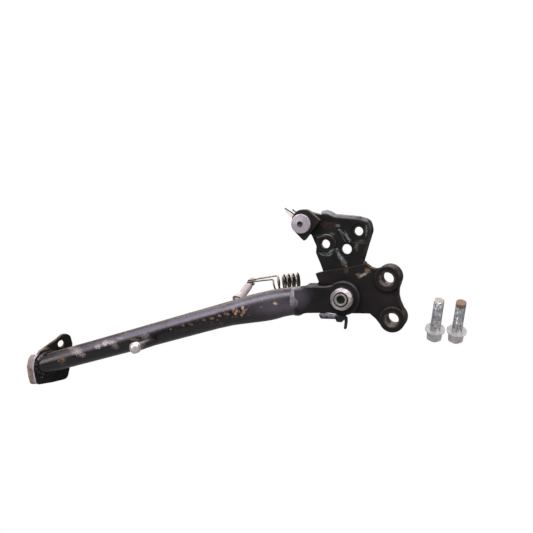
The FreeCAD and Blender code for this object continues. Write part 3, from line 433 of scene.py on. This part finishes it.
def paint_leg():
    mat = dark_paint("LegPaint", (0.0040, 0.0036, 0.0040), rough=0.26, dust=0.0, spec=0.42)

    def x_span(start, end):
        return mat.span(mat.dot(mat.coords, (1, 0, 0)), start, end)

    # painted highlight: a broad lavender sheen along the upper front of the tube, fading
    # towards the foot
    fade = mat.calc("ADD", mat.calc("MULTIPLY", x_span(-315, -225), 0.78), 0.12)
    mat.layer(mat.facing((-0.16, -0.77, 0.62), band=(0.925, 0.990)),
              mat.speckle(60, band=(0.15, 0.45)), fade, x_span(-30, -95),
              color=(0.118, 0.107, 0.136), rough=0.34)
    # painted highlight: greyer front faces near the fork, with a duller finish
    mat.layer(mat.near((-60.0, -11, -12.0), (26.0, 12, 9.0), scale=90, wobble=0.4, soft=1.4),
              mat.facing((0, -1, 0), band=(0.25, 0.75)),
              color=(0.060, 0.054, 0.066), rough=0.38, strength=0.8)
    # dirt on the upper side
    mat.layer(mat.facing((-0.2, 0.10, 0.97), band=(0.80, 0.97)),
              mat.speckle(120, band=(0.30, 0.58)),
              color=(0.10, 0.074, 0.060), rough=0.8, strength=0.85)
    mat.layer(mat.facing((0, -0.25, 0.97), band=(0.80, 0.98)),
              mat.speckle(520, band=(0.56, 0.66)),
              color=(0.24, 0.165, 0.10), rough=0.75, strength=0.8)
    patches = [(-9, *row) for row in FOOT_END_PATCHES]
    patches += [(-11, *row, 0.0) for row in PIVOT_END_PATCHES]
    for y, x, z, half_length, half_height, color, strength, metal in patches:
        mat.patch((x, y, z), (half_length, 9, half_height), color, strength,
                  rough=0.42, metal=metal, scale=640, wobble=1.15, soft=0.7)
    # rusty blotches at the foot end
    mat.layer(mat.near((-293.0, -9, -76.5), (3.8, 9, 4.6), scale=420, wobble=1.1, soft=0.6),
              mat.speckle(520, band=(0.42, 0.56)),
              color=(0.13, 0.08, 0.030), rough=0.75, strength=0.85)
    mat.layer(mat.near((-287.0, -9, -64.8), (5.0, 9, 1.6), scale=420, wobble=0.6, soft=0.5),
              mat.speckle(520, band=(0.38, 0.56)),
              color=(0.24, 0.17, 0.12), rough=0.7, strength=0.85)
    # small rusty nicks along the front, thicker towards the pivot
    mat.layer(mat.speckle(380, band=(0.60, 0.66), detail=3),
              mat.facing((0.2, -1, -0.1), band=(0.6, 0.9)),
              mat.product(x_span(-170, -120), x_span(-85, -95)),
              color=(0.14, 0.095, 0.055), rough=0.7, strength=0.8)
    mat.layer(mat.speckle(300, band=(0.70, 0.75), detail=3),
              mat.facing((0, -1, -0.1), band=(0.2, 0.6)),
              color=(0.15, 0.105, 0.07), rough=0.7, strength=0.4)
    mat.bump(70, strength=0.08, depth=0.8, detail=3)
    mat.apply("leg_tube")


def paint_fork():
    mat = dark_paint("ForkPaint", (0.0058, 0.0055, 0.0058), rough=0.34, dust=0.12, spec=0.24)
    # painted highlight on the faces turned up and to the front
    mat.layer(mat.facing((0.25, -0.62, 0.74), band=(0.82, 0.98)),
              mat.speckle(150, band=(0.35, 0.6)),
              color=(0.13, 0.115, 0.12), rough=0.42, strength=0.45)
    # painted highlight: a lighter grey patch on the round stub beside the weld
    mat.layer(mat.near((-41.0, -11.3, 1.0), (8.0, 6, 9.0), scale=120, wobble=0.5, soft=1.4),
              color=(0.050, 0.044, 0.054), rough=0.40, strength=0.85)
    mat.apply("leg_fork")


def paint_fork_weld():
    mat = dark_paint("LegBead", (0.020, 0.018, 0.021), rough=0.34, dust=0.5, spec=0.6)
    # painted highlight: lavender-grey on the upper front of the bead
    mat.layer(mat.facing((0, -0.80, 0.60), band=(0.35, 0.90)),
              mat.speckle(110, band=(0.25, 0.55)),
              color=(0.135, 0.122, 0.145), rough=0.42, strength=0.85)
    mat.layer(mat.facing((0, -0.2, 0.98), band=(0.7, 0.97)),
              mat.speckle(300, band=(0.45, 0.6)),
              color=(0.12, 0.085, 0.06), rough=0.7, strength=0.5)
    mat.bump(420, strength=0.35, depth=0.8, detail=3)
    mat.apply("fork_weld")


# a vertical plane through the foot plate: a point, its normal and its level direction
FOOT_ORIGIN = (-314.0, 0, -83.4)
FOOT_NORMAL = Vector((0.769, -0.639, 0)).normalized()
FOOT_LEVEL = Vector((0.639, 0.769, 0)).normalized()


def paint_foot():
    mat = dark_paint("FootPaint", (0.0045, 0.0040, 0.0040), rough=0.48, dust=0.0, spec=0.12)
    position = mat.offset(FOOT_ORIGIN)
    level = mat.dot(position, FOOT_LEVEL)
    out = mat.dot(position, FOOT_NORMAL)
    # worn surface behind the plane, with a wavering border
    waver = mat.calc("SUBTRACT", mat.noise(260, detail=3), 0.5)
    waver = mat.calc("MULTIPLY", waver, 1.2 * MM)
    behind = mat.span(mat.calc("ADD", out, waver), -0.2, -0.7)
    mat.layer(behind, mat.speckle(180, band=(0.32, 0.6)),
              color=(0.17, 0.12, 0.085), rough=0.6, metal=0.1, strength=0.75)
    # the front-left part is barer; a painted highlight runs as a bright band close to the plane
    toe = mat.product(behind, mat.span(level, -5.0, -6.2))
    mat.layer(toe, color=(0.21, 0.168, 0.150), rough=0.50, metal=0.2)
    mat.layer(toe, mat.speckle(210, band=(0.46, 0.60)),
              color=(0.13, 0.082, 0.055), rough=0.65, metal=0.1)
    mat.layer(toe, mat.near((-326.5, -14.5, -80.0), (5.0, 9, 6.5),
                            scale=350, wobble=0.9, soft=0.8),
              color=(0.33, 0.28, 0.265), rough=0.38, metal=0.4, strength=0.70)
    # painted highlight along the edge of the worn band
    mat.layer(toe, mat.span(out, -1.5, -1.0), mat.speckle(300, band=(0.25, 0.45)),
              color=(0.46, 0.46, 0.50), rough=0.3, metal=0.5, strength=0.85)
    mat.patch((-318.5, -6.0, -68.0), (6.0, 9, 1.6), color=(0.24, 0.165, 0.11), strength=0.8,
              rough=0.7)
    mat.bump(260, strength=0.25, depth=0.8)
    mat.apply("foot_plate")


def paint_foot_weld():
    mat = dark_paint("FootBead", (0.006, 0.005, 0.0055), rough=0.42, dust=0.08, spec=0.2)
    mat.layer(mat.near((-319.0, -8.0, -72.0), (4.0, 9, 7.0), scale=500, wobble=0.8, soft=0.4),
              mat.speckle(420, band=(0.42, 0.6)),
              color=(0.19, 0.165, 0.175), rough=0.35, metal=0.3, strength=0.7)
    mat.layer(mat.near((-290.0, 3.0, -66.0), (9.0, 9, 5.0), scale=400, wobble=0.7, soft=0.5),
              mat.speckle(420, band=(0.42, 0.6)),
              color=(0.24, 0.17, 0.12), rough=0.7, strength=0.7)
    mat.bump(420, strength=0.4, depth=0.8, detail=3)
    mat.apply("foot_weld")


PEG_ROOT = (-190.4, -7.5, -51.8)
PEG_TIP = (-197.1, -38.6, -52.4)


def paint_kick_peg():
    mat = Paint("PegSteel", (0.014, 0.013, 0.013), rough=0.42)
    along = mat.dot(mat.offset(PEG_ROOT), (Vector(PEG_TIP) - Vector(PEG_ROOT)).normalized())
    mat.layer(mat.span(along, 18, 30), mat.speckle(260, band=(0.42, 0.62)),
              color=(0.26, 0.23, 0.21), rough=0.4, metal=0.5)
    mat.layer(mat.span(along, 28.8, 29.6), color=(0.58, 0.545, 0.535), rough=0.36, metal=0.7)
    mat.layer(mat.span(along, 28.8, 29.6), mat.speckle(420, band=(0.58, 0.68)),
              color=(0.36, 0.28, 0.24), rough=0.5, metal=0.4, strength=0.5)
    mat.bump(500, strength=0.15)
    mat.apply("kick_peg")


def paint_pivot_nut():
    mat = Paint("NutBright", (0.70, 0.665, 0.66), rough=0.30, metal=0.95)
    mat.layer(mat.speckle(180, band=(0.45, 0.65)),
              color=(0.52, 0.48, 0.47), rough=0.38, metal=0.9, strength=0.6)
    mat.layer(mat.speckle(700, band=(0.62, 0.70)),
              color=(0.24, 0.21, 0.20), rough=0.5, metal=0.4, strength=0.4)
    # painted shade on the faces turned right and down
    mat.layer(mat.facing((0.90, -0.25, -0.35), band=(0.25, 0.70)),
              mat.speckle(240, band=(0.25, 0.5)),
              color=(0.12, 0.10, 0.09), rough=0.5, metal=0.5, strength=0.85)
    # painted shade inside the counterbore
    mat.layer(mat.span(mat.radius(mat.coords), 7.1, 6.9),
              color=(0.10, 0.095, 0.085), rough=0.5, metal=0.3)
    mat.bump(500, strength=0.12)
    mat.apply("pivot_nut")


def paint_pivot_bolt():
    mat = Paint("PivotZinc", (0.25, 0.245, 0.215), rough=0.42, metal=0.5)
    mat.layer(mat.speckle(300, band=(0.45, 0.65)),
              color=(0.16, 0.155, 0.135), rough=0.5, metal=0.4)
    # painted shade: dark centre in the hollow end, on the front half
    mat.layer(mat.span(mat.radius(mat.coords), 4.4, 3.6),
              mat.span(mat.dot(mat.coords, (0, 1, 0)), 0, -1),
              color=(0.075, 0.075, 0.070), rough=0.5, metal=0.1)
    mat.apply("pivot_bolt")


def paint_washers():
    mat = dark_paint("WasherBlack", (0.005, 0.005, 0.005), rough=0.4, dust=0.1, spec=0.2)
    mat.apply("washer_front", "washer_rear")


def paint_striker():
    mat = dark_paint("StrikerPaint", (0.008, 0.0075, 0.0085), rough=0.32, dust=0.3, spec=0.4)
    # painted highlights: grey and purple patches where light falls on the front of the tab
    mat.layer(mat.near((-14.0, -12.7, -15.6), (9.0, 6, 1.5), scale=400, wobble=0.5, soft=0.6),
              color=(0.18, 0.17, 0.18), rough=0.4, strength=0.6)
    mat.layer(mat.near((-10.5, -12.7, -17.2), (3.2, 6, 1.8), scale=400, wobble=0.5, soft=0.6),
              color=(0.26, 0.22, 0.32), rough=0.35, strength=0.6)
    mat.apply("striker_tab", "striker_leaf")
    rivets = dark_paint("RivetPaint", (0.05, 0.045, 0.055), rough=0.4, dust=0.1)
    rivets.apply("striker_rivets")


for paint_piece in (
        paint_bracket, paint_plate, paint_plate_welds, paint_guide_tab, paint_guide_bolt,
        paint_guide_nut, paint_spring_posts, paint_springs, paint_clip, paint_mounting_bolts,
        paint_bushing, paint_leg, paint_fork, paint_fork_weld, paint_foot, paint_foot_weld,
        paint_kick_peg, paint_pivot_nut, paint_pivot_bolt, paint_washers, paint_striker):
    paint_piece()

for piece in pieces.values():
    for polygon in piece.data.polygons:
        polygon.use_smooth = True
    edges = piece.modifiers.new("edges", "EDGE_SPLIT")
    edges.split_angle = EDGE_ANGLE
    edges.use_edge_sharp = False


# ------------------------------------------------------------ floor and world
def white_to_camera(tree, output_kind, lit_kind, lit_values, white_kind):
    """Show plain white to the camera and the lit shader to every other ray."""
    tree.nodes.clear()
    mix = tree.nodes.new("ShaderNodeMixShader")
    rays = tree.nodes.new("ShaderNodeLightPath")
    tree.links.new(rays.outputs["Is Camera Ray"], mix.inputs[0])
    shaders = (lit_kind, lit_values), (white_kind, ((1, 1, 1, 1), 1.0))
    for slot, (kind, values) in enumerate(shaders, start=1):
        shader = tree.nodes.new(kind)
        for socket, value in zip(shader.inputs, values):
            socket.default_value = value
        tree.links.new(shader.outputs[0], mix.inputs[slot])
    tree.links.new(mix.outputs[0], tree.nodes.new(output_kind).inputs[0])


def add_object(name, data):
    item = bpy.data.objects.new(name, data)
    bpy.context.scene.collection.objects.link(item)
    return item


FLOOR_HALF = 30.0
FLOOR_GAP = 0.003


def build_floor():
    # low enough for the foot to swing down over it
    low_x, _, low_z = rest_bounds[0]
    swing = math.hypot(low_x + SHIFT.x, low_z + SHIFT.z)
    z = -SHIFT.z - swing - FLOOR_GAP
    corners = [(x * FLOOR_HALF, y * FLOOR_HALF, z)
               for x, y in ((-1, -1), (1, -1), (1, 1), (-1, 1))]
    mesh = bpy.data.meshes.new("floor")
    mesh.from_pydata(corners, [], [(0, 1, 2, 3)])
    add_object("floor", mesh)
    material = bpy.data.materials.new("Floor")
    material.use_nodes = True
    white_to_camera(material.node_tree, "ShaderNodeOutputMaterial", "ShaderNodeBsdfDiffuse",
                    ((0.30, 0.295, 0.30, 1),), "ShaderNodeEmission")
    mesh.materials.append(material)


def build_world():
    world = bpy.data.worlds.new("World")
    bpy.context.scene.world = world
    world.use_nodes = True
    # the lit values are colour and strength
    white_to_camera(world.node_tree, "ShaderNodeOutputWorld", "ShaderNodeBackground",
                    ((0.78, 0.76, 0.78, 1), 0.16), "ShaderNodeBackground")


# ------------------------------------------------------------ lights and camera
LIGHT_TARGET = Vector((-0.12, 0.0, -0.01))
# name, place from the pivot, (width, height), watts, colour
LIGHTS = (
    ("key", (-0.15, -0.75, 1.05), (1.9, 0.55), 34.0, (0.97, 0.93, 1.0)),
    ("rear", (-0.35, 0.9, 0.9), (1.6, 0.7), 14.0, (1.0, 0.96, 0.92)),
    ("right", (1.1, -0.6, 0.35), (0.5, 0.8), 7.0, (1.0, 0.97, 0.95)),
    ("left", (-1.1, -0.7, 0.2), (0.4, 0.6), 5.0, (1.0, 0.95, 0.93)),
)
CAMERA_PLACE = Vector((0.14849, -0.77881, 0.11978))  # from the pivot
CAMERA_TURN = math.radians(16.1)  # round to the right of straight ahead
CAMERA_RISE = math.radians(6.6)  # looking down by this much


def place(item, location, rotation):
    item.rotation_mode = "QUATERNION"
    item.location = location - SHIFT
    item.rotation_quaternion = rotation


def build_lights():
    for name, location, size, energy, color in LIGHTS:
        light = bpy.data.lights.new(name, "AREA")
        light.shape = "RECTANGLE"
        light.size, light.size_y = size
        light.energy = energy
        light.color = color
        location = Vector(location)
        place(add_object(name, light), location,
              (LIGHT_TARGET - location).to_track_quat("-Z", "Y"))


def build_camera():
    lens = bpy.data.cameras.new("cam")
    lens.sensor_width = 36.0
    lens.lens = 57.61
    lens.clip_start, lens.clip_end = 0.01, 100.0
    camera = add_object("cam", lens)
    sin_turn, cos_turn = math.sin(CAMERA_TURN), math.cos(CAMERA_TURN)
    sin_rise, cos_rise = math.sin(CAMERA_RISE), math.cos(CAMERA_RISE)
    right = (cos_turn, sin_turn, 0)
    up = (-sin_turn * sin_rise, cos_turn * sin_rise, cos_rise)
    back = (sin_turn * cos_rise, -cos_turn * cos_rise, sin_rise)
    place(camera, CAMERA_PLACE, Matrix((right, up, back)).transposed().to_quaternion())
    bpy.context.scene.camera = camera


build_floor()
build_world()
build_lights()
build_camera()
bpy.context.scene.view_settings.view_transform = "Standard"
bpy.context.scene.view_settings.look = "None"
